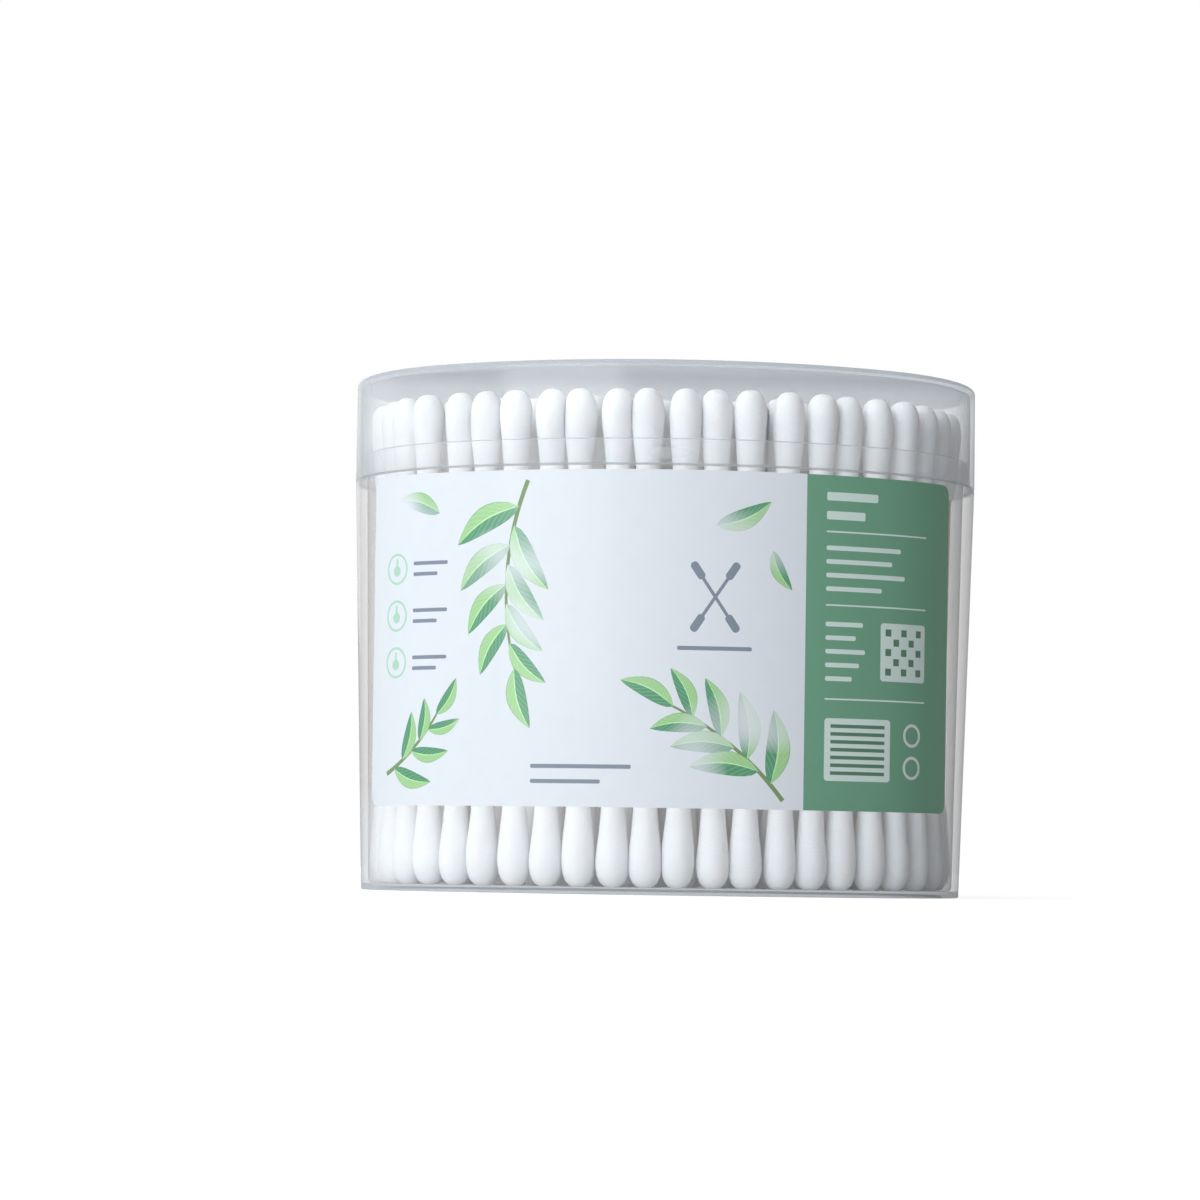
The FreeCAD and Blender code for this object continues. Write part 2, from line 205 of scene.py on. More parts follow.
# The floor: its grey in light that falls on things and as the camera sees it, its glow at the
# middle, and how the glow grows with each metre
FLOOR_GREY = 0.65
SHOWN_GREY = 0.25
GLOW = 0.84
GLOW_GROWTH = 0.2


def length(name, description, default):
    """A length that the user can change, in metres."""
    return bpy.props.FloatProperty(
        name=name, description=description, default=default, min=0, precision=5, unit="LENGTH"
    )


def signed(name, description, default, unit="LENGTH"):
    """A place or turn that may be negative."""
    return bpy.props.FloatProperty(
        name=name, description=description, default=default, precision=5, unit=unit
    )


def share(name, description, default):
    """A share from 0 to 1."""
    return bpy.props.FloatProperty(
        name=name, description=description, default=default, min=0, max=1, subtype="FACTOR"
    )


def power(name, description, default):
    """A lamp's power in watts."""
    return bpy.props.FloatProperty(
        name=name, description=description, default=default, unit="POWER"
    )


def count(name, description, default):
    """A whole number of faces or pieces."""
    return bpy.props.IntProperty(name=name, description=description, default=default, min=1)


def colour(name, description, default):
    """A surface colour."""
    return bpy.props.FloatVectorProperty(
        name=name, description=description, default=default, size=3, min=0, max=1, subtype="COLOR"
    )


class TubSettings(bpy.types.PropertyGroup):
    """Walls of the tub and the lid."""

    end_radius: length("End radius", "Bend of the oval at its two ends", 30 * MM)
    taper: length("Taper", "How far each side draws in from shoulder to base", 2 * MM)
    foot_width: length("Foot width", "Width of the ring that the tub stands on", 2.6 * MM)
    foot_recess: length("Foot recess", "Rise of the base inside the foot ring", 0.4 * MM)
    floor_wall: length("Floor wall", "Side wall thickness at the floor", 1.1 * MM)
    neck_inset: length("Neck inset", "Shoulder's edge in to the neck", 1.0 * MM)
    neck_wall: length("Neck wall", "Wall thickness of the neck", 0.7 * MM)
    lid_wall: length("Lid wall", "Thickness of the lid's skirt", 0.7 * MM)
    lid_plate: length("Lid plate", "Thickness of the lid's top", 0.9 * MM)
    edge_round: length("Edge rounding", "Rounding of the moulded edges", 0.22 * MM)
    lid_round: length("Lid rounding", "Rounding of the lid's top edge", 0.7 * MM)
    bead_length: length("Bead length", "Length of a snap bead", 6.4 * MM)
    bead_height: length("Bead height", "Height of a snap bead", 1.7 * MM)
    bead_thickness: length("Bead thickness", "Front to back size of a snap bead", 0.8 * MM)
    bead_proud: length("Bead stands proud", "How far a bead stands out of the neck", 0.15 * MM)
    bead_level: length("Bead level", "Middle of a bead above the shoulder", 1.8 * MM)
    arc_steps: count("Steps per arc", "Segments in each of the oval's four arcs", 44)
    tub_tint: colour("Tub tint", "What the tub's plastic lets through", (0.990, 0.992, 0.995))
    lid_tint: colour("Lid tint", "What the lid's plastic lets through", (0.972, 0.975, 0.979))
    bloom: colour("Bloom", "Pale haze of the plastic seen head on", (0.93, 0.93, 0.94))
    # Tones of the haze seen along the face: the thicker mist there is real, and their grey is
    # painted shade for clear walls seen edge on
    tub_haze_painted_shade: colour("Tub haze", "Haze of the tub seen along its face", (0.32, 0.325, 0.33))
    lid_haze_painted_shade: colour("Lid haze", "Haze of the lid seen along its face", (0.30, 0.325, 0.355))
    plate_haze_painted_shade: colour("Plate haze", "Haze of the lid's top from the side", (0.27, 0.29, 0.315))
    # Grey of the moulded edges: their denser haze is real, and the grey is painted shade for the
    # dark lines along thick clear edges
    edge_haze_painted_shade: colour("Edge colour", "Thick moulded edges seen through", (0.50, 0.54, 0.58))


class LabelSettings(bpy.types.PropertyGroup):
    """The paper label and its print."""

    corner: length("Corner radius", "Rounding of the label's corners", 1.6 * MM)
    glue: length("Adhesive", "Gap between the wall and the paper", 0.05 * MM)
    paper: length("Paper", "Thickness of the paper", 0.1 * MM)
    ink: length("Ink", "How far the print lies outside the paper", 0.01 * MM)
    panel_width: length("Panel width", "Width of the green end panel along the wall", 26.9 * MM)
    paper_colour: colour("Paper colour", "Pale ground of the label", (0.735, 0.77, 0.81))
    panel_colour: colour("Panel colour", "Green end panel", (0.16, 0.35, 0.235))
    leaf_dark: colour("Leaf, dark", "Shaded half of a leaf", (0.075, 0.27, 0.15))
    leaf_light: colour("Leaf, light", "Lit half of a leaf", (0.33, 0.58, 0.27))
    mark_colour: colour("Marks", "Pale green round marks", (0.42, 0.66, 0.52))
    text_colour: colour("Lines", "Grey lines that stand for small print", (0.23, 0.27, 0.33))
    stem_colour: colour("Stems", "Stems of the sprigs", (0.20, 0.30, 0.13))
    pale_colour: colour("Panel marks", "Pale print on the green panel", (0.66, 0.78, 0.73))


class SwabSettings(bpy.types.PropertyGroup):
    """Sticks and cotton tips."""

    tip_radius: length("Tip radius", "Cotton tip at its widest", 2.57 * MM)
    stick_radius: length("Stick radius", "Bamboo stick", 1.1 * MM)
    stick_sides: count("Stick sides", "Faces round a stick", 12)
    ring_sides: count("Sides of an outer tip", "Faces round a tip beside the wall", 18)
    inner_sides: count("Sides of an inner tip", "Faces round a tip inside", 8)
    lean_out: signed("Lean outwards", "Most that an outer swab leans to the wall", 1.5 * MM)
    lean_side: signed("Lean sideways", "Most that an outer swab leans along the wall", 0.5 * MM)
    ring_stray: length("Outer stray", "Most that an outer swab's foot stands aside", 0.22 * MM)
    foot_room: length("Foot room", "How far an outer swab's foot is drawn in", 0.1 * MM)
    inner_stray: length("Inner stray", "Most that an inner swab stands from its place", 0.8 * MM)
    inner_lean: length("Inner lean", "Most that an inner swab's ends lean", 0.5 * MM)
    seed: count("Seed", "Start of the random leans", 7)
    cotton: colour("Cotton", "Cotton colour", (0.88, 0.885, 0.90))
    bamboo_light: colour("Bamboo, light", "Light grain", (0.82, 0.66, 0.47))
    bamboo_dark: colour("Bamboo, dark", "Dark grain", (0.66, 0.48, 0.31))


class StageSettings(bpy.types.PropertyGroup):
    """Floor, lamps, world and camera."""

    camera_place: bpy.props.FloatVectorProperty(
        name="Camera", description="Place of the camera", size=3, unit="LENGTH",
        default=(-9.83 * MM, -561.9 * MM, 4.96 * MM),
    )
    pitch: signed("Pitch", "Upward tilt of the camera", 0.0716, "ROTATION")
    roll: signed("Roll", "Turn of the camera about its view", 0.0151, "ROTATION")
    lens: bpy.props.FloatProperty(
        name="Lens", description="Focal length on a 36 mm sensor", default=108.9, min=1
    )
    floor_size: length("Floor", "Half width of the floor", 3.0)
    key_power: power("Key", "Power of the left lamp", 12.4)
    rear_power: power("Rear", "Power of the lamp behind", 3.0)
    top_power: power("Top", "Power of the upper lamp", 5.0)
    world: share("World", "Strength of the world on the object", 0.08)


# The oval and the drafted wall


def oval_arcs(tub, inset):
    """Middle, radius, start and end angle of each of four arcs, an inset inside the shoulder."""
    end_offset = HALF_WIDTH - tub.end_radius
    side_radius = (end_offset**2 + HALF_DEPTH**2 - tub.end_radius**2) / (
        2 * (HALF_DEPTH - tub.end_radius)
    )
    side_offset = side_radius - HALF_DEPTH
    turn = math.atan2(side_offset, end_offset)
    return (
        (Vector((end_offset, 0, 0)), tub.end_radius - inset, -turn, turn),
        (Vector((0, -side_offset, 0)), side_radius - inset, turn, math.pi - turn),
        (Vector((-end_offset, 0, 0)), tub.end_radius - inset, math.pi - turn, math.pi + turn),
        (Vector((0, side_offset, 0)), side_radius - inset, math.pi + turn, FULL_TURN - turn),
    )


def oval_loop(bm, tub, level, inset):
    """A level loop of edges round the oval, spun arc by arc."""
    known = set(bm.edges)
    arcs = oval_arcs(tub, inset)
    middle, radius, start, _ = arcs[0]
    out = Vector((math.cos(start), math.sin(start), 0))
    first = last = bm.verts.new(middle + radius * out + UP * level)
    for middle, _, start, end in arcs:
        spun = bmesh.ops.spin(
            bm, geom=[last], cent=middle + UP * level, axis=UP, angle=end - start,
            steps=tub.arc_steps,
        )
        last = next(item for item in spun["geom_last"] if isinstance(item, bmesh.types.BMVert))
    bmesh.ops.remove_doubles(bm, verts=[first, last], dist=MERGE)
    return [edge for edge in bm.edges if edge not in known]


def shell(bm, tub, profile, cap_finish):
    """A closed wall through loops given as (level, inset, finish), capped at both ends."""
    loops = [oval_loop(bm, tub, level, inset) for level, inset, _ in profile]
    for low, high, (_, _, finish) in zip(loops, loops[1:], profile[1:]):
        for face in bmesh.ops.bridge_loops(bm, edges=low + high)["faces"]:
            face.material_index = finish
            face.smooth = True
    for loop in (loops[0], loops[-1]):
        bmesh.ops.contextual_create(bm, geom=loop, mat_nr=cap_finish)
    bmesh.ops.recalc_face_normals(bm, faces=bm.faces)


def drafted(tub, level):
    """The outer wall's inset at a level."""
    return tub.taper * (1 - level / SHOULDER)


def wall_y(tub, x, level, outward):
    """The y of the front wall, or of a place outside it, at a place across and a level."""
    right, _, _, front = oval_arcs(tub, drafted(tub, level) - outward)
    join = front[1] * math.cos(front[3])
    middle, radius = front[:2] if abs(x) <= join else right[:2]
    return middle.y - math.sqrt(max(radius**2 - (abs(x) - middle.x) ** 2, 0))


def across_at(tub, along):
    """How far across the front a distance along the shoulder's oval from its middle lies."""
    right, _, _, front = oval_arcs(tub, 0)
    bend = front[3] - 1.5 * math.pi
    reach = abs(along)
    if reach <= front[1] * bend:
        x = front[1] * math.sin(reach / front[1])
    else:
        x = right[0].x + right[1] * math.sin(bend + (reach - front[1] * bend) / right[1])
    return math.copysign(x, along)


def along_at(tub, x):
    """The distance along the shoulder's oval from its middle to a place across the front."""
    right, _, _, front = oval_arcs(tub, 0)
    bend = front[3] - 1.5 * math.pi
    if abs(x) <= front[1] * math.sin(bend):
        along = front[1] * math.asin(abs(x) / front[1])
    else:
        along = front[1] * bend + right[1] * (math.asin((abs(x) - right[0].x) / right[1]) - bend)
    return math.copysign(along, x)


def wrap(bm, tub, outward):
    """Cut a flat sheet, drawn as (along, level), into small cells and lay it on the front wall."""
    alongs = [vertex.co.x for vertex in bm.verts]
    levels = [vertex.co.y for vertex in bm.verts]
    for places, normal, cell in (
        (alongs, Vector((1, 0, 0)), ACROSS_CELL),
        (levels, Vector((0, 1, 0)), UP_CELL),
    ):
        for step in range(math.ceil(min(places) / cell), math.floor(max(places) / cell) + 1):
            geom = bm.verts[:] + bm.edges[:] + bm.faces[:]
            bmesh.ops.bisect_plane(
                bm, geom=geom, dist=MERGE, plane_co=normal * step * cell, plane_no=normal
            )
    for vertex in bm.verts:
        x = across_at(tub, vertex.co.x)
        level = vertex.co.y
        rise = outward + vertex.co.z
        vertex.co = Vector((x, wall_y(tub, x, level, rise), level))
    for face in bm.faces:
        face.smooth = True


# Meshes and pieces


def to_mesh(bm, name):
    """Turn a bmesh into a mesh and free it."""
    mesh = bpy.data.meshes.new(name)
    bm.to_mesh(mesh)
    bm.free()
    return mesh


def to_object(bm, name, materials):
    """Turn a bmesh into an object of the scene."""
    thing = bpy.data.objects.new(name, to_mesh(bm, name))
    bpy.context.scene.collection.objects.link(thing)
    for material in materials:
        thing.data.materials.append(material)
    return thing


def piece(bm, name, body, slot, materials, replaced=()):
    """Turn a bmesh into a finished piece that rides on a body and stands for some CAD nodes."""
    thing = to_object(bm, name, materials)
    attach(thing, body)
    if replaced:
        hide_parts(*replaced)
    return thing


def thin_piece(*parts):
    """A piece of clear plastic or thin paper, which takes next to no light from what it covers."""
    thing = piece(*parts)
    thing.visible_shadow = False
    thing.visible_diffuse = False


def faces_on(vertices, finish):
    """The faces on some vertices, given a finish."""
    faces = {face for vertex in vertices for face in vertex.link_faces}
    for face in faces:
        face.material_index = finish
    return faces


def round_corners(bm, vertices, radius):
    """Round the corners of a flat shape."""
    bmesh.ops.bevel(
        bm, geom=vertices, offset=radius, offset_type="OFFSET", segments=5, profile=0.5,
        affect="VERTICES", material=-1,
    )


def flat_box(bm, centre, half_size, corner=0.0, finish=0):
    """A flat rectangle, with round corners where a radius is given."""
    place = Matrix.Translation((*centre, 0)) @ Matrix.Diagonal((*half_size, 1, 1))
    made = bmesh.ops.create_grid(bm, x_segments=1, y_segments=1, size=1, matrix=place)
    faces_on(made["verts"], finish)
    if corner:
        round_corners(bm, made["verts"], corner)


def flat_disc(bm, centre, radius):
    """A flat disc."""
    place = Matrix.Translation((*centre, 0))
    bmesh.ops.create_circle(bm, cap_ends=True, segments=28, radius=radius, matrix=place)


def flat_ring(bm, centre, inner, outer):
    """A flat ring, spun from one edge."""
    middle = Vector((*centre, 0))
    ends = [bm.verts.new(middle + Vector((reach, 0, 0))) for reach in (inner, outer)]
    edge = bm.edges.new(ends)
    bmesh.ops.spin(
        bm, geom=ends + [edge], cent=middle, axis=UP, angle=FULL_TURN, steps=30, use_merge=True
    )


def face_up(bm):
    """Turn the faces of a flat drawing to look out of the label."""
    for face in bm.faces:
        face.normal_update()
        if face.normal.z < 0:
            face.normal_flip()


# Materials


class Look:
    """A node tree that is filled step by step."""

    def __init__(self, tree):
        tree.nodes.clear()
        self.nodes = tree.nodes
        self.links = tree.links

    def feed(self, socket, value):
        """Link an input to an output, or give it a plain value."""
        if isinstance(value, bpy.types.NodeSocket):
            self.links.new(value, socket)
        else:
            socket.default_value = value

    def add(self, kind, output=0, **values):
        """The output of a new node, whose inputs are fed by name."""
        node = self.nodes.new(kind)
        for name, value in values.items():
            self.feed(node.inputs[name.replace("_", " ")], value)
        return node.outputs[output] if node.outputs else None

    def by_order(self, node, *values):
        """The first output of a node, whose inputs are fed in their order."""
        for socket, value in zip(node.inputs, values):
            self.feed(socket, value)
        return node.outputs[0]

    def maths(self, operation, *values, clamp=False):
        """A sum on sockets or numbers."""
        node = self.nodes.new("ShaderNodeMath")
        node.operation = operation
        node.use_clamp = clamp
        return self.by_order(node, *values)

    def mixed(self, factor, first, second):
        """A shader between two, by a factor."""
        return self.by_order(self.nodes.new("ShaderNodeMixShader"), factor, first, second)

    def noise(self, scale, stretch=(1, 1, 1), detail=3.0):
        """Noise on the piece's own coordinates, stretched along its axes."""
        place = self.add("ShaderNodeTexCoord", "Object")
        stretched = self.add("ShaderNodeMapping", Vector=place, Scale=stretch)
        return self.add("ShaderNodeTexNoise", "Fac", Vector=stretched, Scale=scale, Detail=detail)

    def between(self, factor, low, high):
        """A colour between two, by a factor."""
        mix = self.nodes.new("ShaderNodeMix")
        mix.data_type = "RGBA"
        self.feed(mix.inputs["Factor"], factor)
        for name, value in (("A", low), ("B", high)):
            socket = next(s for s in mix.inputs if s.name == name and s.type == "RGBA")
            self.feed(socket, value if isinstance(value, bpy.types.NodeSocket) else (*value, 1))
        return next(s for s in mix.outputs if s.type == "RGBA")

    def bump(self, height, strength, distance):
        """Normals of a fine relief."""
        return self.add("ShaderNodeBump", Height=height, Strength=strength, Distance=distance)


def scaled(tint, factor):
    """A colour made lighter or darker."""
    return tuple(min(channel * factor, 1) for channel in tint)


def material_of(name, draw, *values):
    """A material whose nodes a function draws."""
    material = bpy.data.materials.new(name)
    material.use_nodes = True
    look = Look(material.node_tree)
    look.add("ShaderNodeOutputMaterial", Surface=draw(look, *values))
    return material


def clear_plastic(look, tint, tones, mists, steepness=3.0, passed=0.35):
    """Clear plastic with faint flow marks; its tone and mist go from head on to edge on.
    Edge on the mist thickens, and its grey tone there is painted shade for walls seen along their
    face.

    A greater steepness keeps the mist to the edge, and the share passed is lit from behind.
    """
    seen = look.add("ShaderNodeLayerWeight", "Facing", Blend=0.5)
    curve = look.maths("POWER", seen, steepness)
    flow = look.noise(90, (1, 1, 0.25))
    # Head on a pale haze; edge on a grey that is painted shade for walls seen along their face
    head_on, edge_on_painted_shade = (
        look.between(flow, scaled(tone, 0.93), scaled(tone, 1.07)) for tone in tones
    )
    tone = look.between(curve, head_on, edge_on_painted_shade)
    clear = look.add("ShaderNodeBsdfTransparent", Color=(*tint, 1))
    front = look.add("ShaderNodeBsdfDiffuse", Color=tone)
    through = look.add("ShaderNodeBsdfTranslucent", Color=tone)
    mist = look.mixed(passed, front, through)
    amount = look.maths("MULTIPLY_ADD", curve, mists[1] - mists[0], mists[0])
    body = look.mixed(amount, clear, mist)
    gloss = look.add("ShaderNodeBsdfAnisotropic", Color=(0.95, 0.96, 0.97, 1), Roughness=0.12)
    edge_gloss, least_gloss = 0.2, 0.01
    mirrored = look.maths("POWER", seen, 5.0)
    strength = look.maths("MULTIPLY_ADD", mirrored, edge_gloss, least_gloss)
    return look.mixed(strength, body, gloss)


def ink_or_paper(look, tone):
    """Satin print or paper with a faint unevenness."""
    tones = look.between(look.noise(420), scaled(tone, 0.975), scaled(tone, 1.025))
    return look.add(
        "ShaderNodeBsdfPrincipled", Base_Color=tones, Roughness=0.45, Specular_IOR_Level=0.2,
        Coat_Weight=0.05,
    )


def plastic(name, *values):
    """A material of clear plastic."""
    return material_of(name, clear_plastic, *values)


def printed(name, tone):
    """A material of ink or paper."""
    return material_of(name, ink_or_paper, tone)


def painted_leaf(look, label):
    """Painted leaves: a light and a dark half, a pale midrib and side veins, along each leaf."""
    uv = look.nodes.new("ShaderNodeUVMap")
    uv.uv_map = LEAF_UV
    split = look.nodes.new("ShaderNodeSeparateXYZ")
    look.feed(split.inputs[0], uv.outputs["UV"])
    across = look.maths("SUBTRACT", split.outputs["X"], 0.5)
    from_rib = look.maths("ABSOLUTE", across)
    side = look.maths("MULTIPLY_ADD", across, 9.0, look.noise(300, detail=2.0), clamp=True)
    halves = look.between(side, label.leaf_dark, label.leaf_light)
    pale = scaled(label.leaf_light, 1.55)
    slant = look.maths("MULTIPLY_ADD", from_rib, -0.55, split.outputs["Y"])
    wave = look.maths("SINE", look.maths("MULTIPLY", slant, 52.0))
    vein = look.maths("MULTIPLY_ADD", wave, 4.0, -3.3, clamp=True)
    veined = look.between(look.maths("MULTIPLY", vein, 0.45), halves, pale)
    rib = look.maths("MULTIPLY_ADD", from_rib, -30.0, 1.3, clamp=True)
    ribbed = look.between(rib, veined, pale)
    rim = look.maths("MULTIPLY_ADD", from_rib, 14.0, -6.3, clamp=True)
    rimmed = look.between(rim, ribbed, scaled(label.leaf_dark, 0.8))
    patches = look.noise(75, detail=1.0)
    fade = look.maths("MULTIPLY_ADD", patches, 5.0, -2.6, clamp=True)
    washed = look.between(fade, rimmed, label.paper_colour)
    return look.add(
        "ShaderNodeBsdfPrincipled", Base_Color=washed, Roughness=0.38, Coat_Weight=0.2,
        Coat_Roughness=0.25,
    )


def wound_cotton(look, swab):
    """Wound white cotton: matte, with a soft sheen and fine fibres round the tip."""
    mottle = look.noise(260, detail=4.0)
    tones = look.between(mottle, scaled(swab.cotton, 0.93), scaled(swab.cotton, 1.05))
    fibres = look.noise(1500, (1, 1, 2.6), detail=4.0)
    lumps = look.noise(420, (1, 1, 0.6), detail=1.0)
    relief = look.maths("MULTIPLY_ADD", lumps, 2.0, fibres)
    return look.add(
        "ShaderNodeBsdfPrincipled", Base_Color=tones, Roughness=0.95,
        Sheen_Weight=0.25, Sheen_Roughness=0.6, Specular_IOR_Level=0.1,
        Subsurface_Weight=1.0, Subsurface_Scale=4 * MM, Subsurface_Radius=(1.0, 0.85, 0.8),
        Normal=look.bump(relief, 0.55, 0.2 * MM),
    )


def bamboo_wood(look, swab):
    """Sanded bamboo with its grain along the stick."""
    grain = look.noise(1400, (1, 1, 0.03), detail=5.0)
    tones = look.between(grain, swab.bamboo_dark, swab.bamboo_light)
    return look.add(
        "ShaderNodeBsdfPrincipled", Base_Color=tones, Roughness=0.6,
        Normal=look.bump(grain, 0.3, 0.05 * MM),
    )


# Tub and lid


class SWABTUB_OT_tub(bpy.types.Operator):
    """Make the tub's clear shell"""

    bl_idname = "swabtub.tub"
    bl_label = "Tub"

    def execute(self, context):
        tub = context.scene.swabtub_tub
        bm = bmesh.new()
        shell(bm, tub, tub_profile(tub), CLEAR)
        for side in (-1, 1):
            add_bead(bm, tub, side)
        materials = [
            plastic("tub_clear", tub.tub_tint, (tub.bloom, tub.tub_haze_painted_shade), TUB_MIST),
            # The edges' grey tone is painted shade for the dark lines along thick moulded plastic
            plastic("tub_edge", tub.tub_tint, (tub.edge_haze_painted_shade, tub.edge_haze_painted_shade), EDGE_MIST),
        ]
        thin_piece(bm, "tub_shell", TUB_BODY, "tub_plastic", materials, ["tub"])
        return {"FINISHED"}


def tub_profile(tub):
    """The tub's wall from under its base, up outside, over the rim and down to the floor."""
    soft = tub.edge_round
    part_soft = soft * PART
    mouth = tub.neck_inset + tub.neck_wall
    floor_inset = drafted(tub, FLOOR) + tub.floor_wall
    part_corner = FLOOR_CORNER * PART
    foot_in = tub.taper + tub.foot_width
    return [
        (tub.foot_recess, foot_in, EDGE),
        (part_soft, foot_in, EDGE),
        (0, foot_in - soft, EDGE),
        (0, tub.taper + soft, EDGE),
        (part_soft, tub.taper + part_soft, EDGE),
        (soft, drafted(tub, soft), EDGE),
        (FLOOR, drafted(tub, FLOOR), EDGE),
        (SHOULDER - soft, drafted(tub, SHOULDER - soft), CLEAR),
        (SHOULDER - part_soft, part_soft, EDGE),
        (SHOULDER, soft, EDGE),
        (SHOULDER, tub.neck_inset, EDGE),
        (RIM - soft, tub.neck_inset, CLEAR),
        (RIM, tub.neck_inset + soft, EDGE),
        (RIM, mouth - soft, EDGE),
        (RIM - soft, mouth, CLEAR),
        (FLOOR + FLOOR_CORNER, floor_inset, CLEAR),
        (FLOOR + part_corner, floor_inset + part_corner, CLEAR),
        (FLOOR, floor_inset + FLOOR_CORNER, CLEAR),
    ]


def add_bead(bm, tub, side):
    """A lens-shaped snap bead on the neck, at the front or the back."""
    reach = HALF_DEPTH - tub.neck_inset + tub.bead_proud - tub.bead_thickness / 2
    place = Vector((0, side * reach, SHOULDER + tub.bead_level))
    size = Matrix.Diagonal((tub.bead_length / 2, tub.bead_thickness / 2, tub.bead_height / 2, 1))
    made = bmesh.ops.create_uvsphere(
        bm, u_segments=28, v_segments=14, radius=1, matrix=Matrix.Translation(place) @ size
    )
    for face in faces_on(made["verts"], CLEAR):
        face.smooth = True


class SWABTUB_OT_lid(bpy.types.Operator):
    """Make the clear lid"""

    bl_idname = "swabtub.lid"
    bl_label = "Lid"

    def execute(self, context):
        tub = context.scene.swabtub_tub
        bm = bmesh.new()
        shell(bm, tub, lid_profile(tub), PLATE)
        materials = [
            plastic("lid_clear", tub.lid_tint, (tub.bloom, tub.lid_haze_painted_shade), LID_MIST),
            # The edges' grey tone is painted shade for the dark lines along thick moulded plastic
            plastic("lid_edge", tub.lid_tint, (tub.edge_haze_painted_shade, tub.edge_haze_painted_shade), EDGE_MIST),
            plastic("lid_plate", tub.lid_tint, (tub.bloom, tub.plate_haze_painted_shade), *PLATE_LOOK),
        ]
        thin_piece(bm, "lid_shell", LID_BODY, "lid_plastic", materials, ["lid"])
        return {"FINISHED"}


def lid_profile(tub):
    """The lid from under its plate, down inside the skirt, round its edge and up to the top."""
    soft = tub.edge_round
    part_soft = soft * PART
    ceiling = LID_TOP - tub.lid_plate
    part_corner = PLATE_CORNER * PART
    rounding = []
    for step in range(LID_STEPS + 1):
        angle = math.pi / 2 * step / LID_STEPS
        level = LID_TOP - tub.lid_round * (1 - math.sin(angle))
        rounding.append((level, tub.lid_round * (1 - math.cos(angle)), EDGE if step else CLEAR))
    return [
        (ceiling, tub.lid_wall + PLATE_CORNER, CLEAR),
        (ceiling - part_corner, tub.lid_wall + part_corner, CLEAR),
        (ceiling - PLATE_CORNER, tub.lid_wall, CLEAR),
        (SHOULDER + soft, tub.lid_wall, CLEAR),
        (SHOULDER, tub.lid_wall - soft, EDGE),
        (SHOULDER, soft, EDGE),
        (SHOULDER + part_soft, part_soft, EDGE),
        (SHOULDER + soft, 0, EDGE),
    ] + rounding


# Label and print


class SWABTUB_OT_label(bpy.types.Operator):
    """Make the paper label round the front"""

    bl_idname = "swabtub.label"
    bl_label = "Label"

    def execute(self, context):
        tub = context.scene.swabtub_tub
        label = context.scene.swabtub_label
        left, right, low, high = label_edges(tub)
        bm = bmesh.new()
        centre = ((left + right) / 2, (low + high) / 2)
        flat_box(bm, centre, ((right - left) / 2, (high - low) / 2), label.corner)
        face_up(bm)
        back = bmesh.ops.duplicate(bm, geom=bm.faces[:])["geom"]
        back_faces = [item for item in back if isinstance(item, bmesh.types.BMFace)]
        bmesh.ops.reverse_faces(bm, faces=back_faces)
        for vertex in {vertex for face in back_faces for vertex in face.verts}:
            vertex.co.z = -label.paper
        rims = [edge for edge in bm.edges if edge.is_boundary]
        bmesh.ops.bridge_loops(bm, edges=rims)
        wrap(bm, tub, label.glue + label.paper)
        bmesh.ops.recalc_face_normals(bm, faces=bm.faces)
        for edge in bm.edges:
            edge.smooth = edge.calc_face_angle(0) < SHARP
        materials = [printed("label_paper", label.paper_colour)]
        thin_piece(bm, "label_sheet", TUB_BODY, "label_paper", materials, ["label"])
        return {"FINISHED"}


def label_edges(tub):
    """Left and right edge along the shoulder's oval, and the lower and upper level."""
    return along_at(tub, LABEL_LOW.x), along_at(tub, LABEL_HIGH.x), LABEL_LOW.z, LABEL_HIGH.z


def lay_print(bm, tub, label, layer, name, materials):
    """Lay a flat drawing on the wall, as a layer of print over the paper."""
    face_up(bm)
    wrap(bm, tub, label.glue + label.paper + layer * label.ink)
    thin_piece(bm, name, TUB_BODY, "label_paper", materials)


class SWABTUB_OT_panel(bpy.types.Operator):
    """Print the green end panel with its pale marks"""

    bl_idname = "swabtub.panel"
    bl_label = "Green panel"

    def execute(self, context):
        tub = context.scene.swabtub_tub
        label = context.scene.swabtub_label
        _, right, low, high = label_edges(tub)
        left = right - label.panel_width
        bm = bmesh.new()
        centre = ((left + right) / 2, (low + high) / 2)
        flat_box(bm, centre, ((right - left) / 2, (high - low) / 2))
        round_corners(bm, [vertex for vertex in bm.verts if vertex.co.x > centre[0]], label.corner)
        materials = [printed("panel_green", label.panel_colour)]
        lay_print(bm, tub, label, GROUND_LAYER, "panel_print", materials)
        bm = bmesh.new()
        draw_panel_marks(bm, left, low)
        materials = [
            printed("panel_pale", label.pale_colour),
            printed("panel_shade", scaled(label.panel_colour, 0.6)),
        ]
        lay_print(bm, tub, label, MARK_LAYER, "panel_marks", materials)
        return {"FINISHED"}


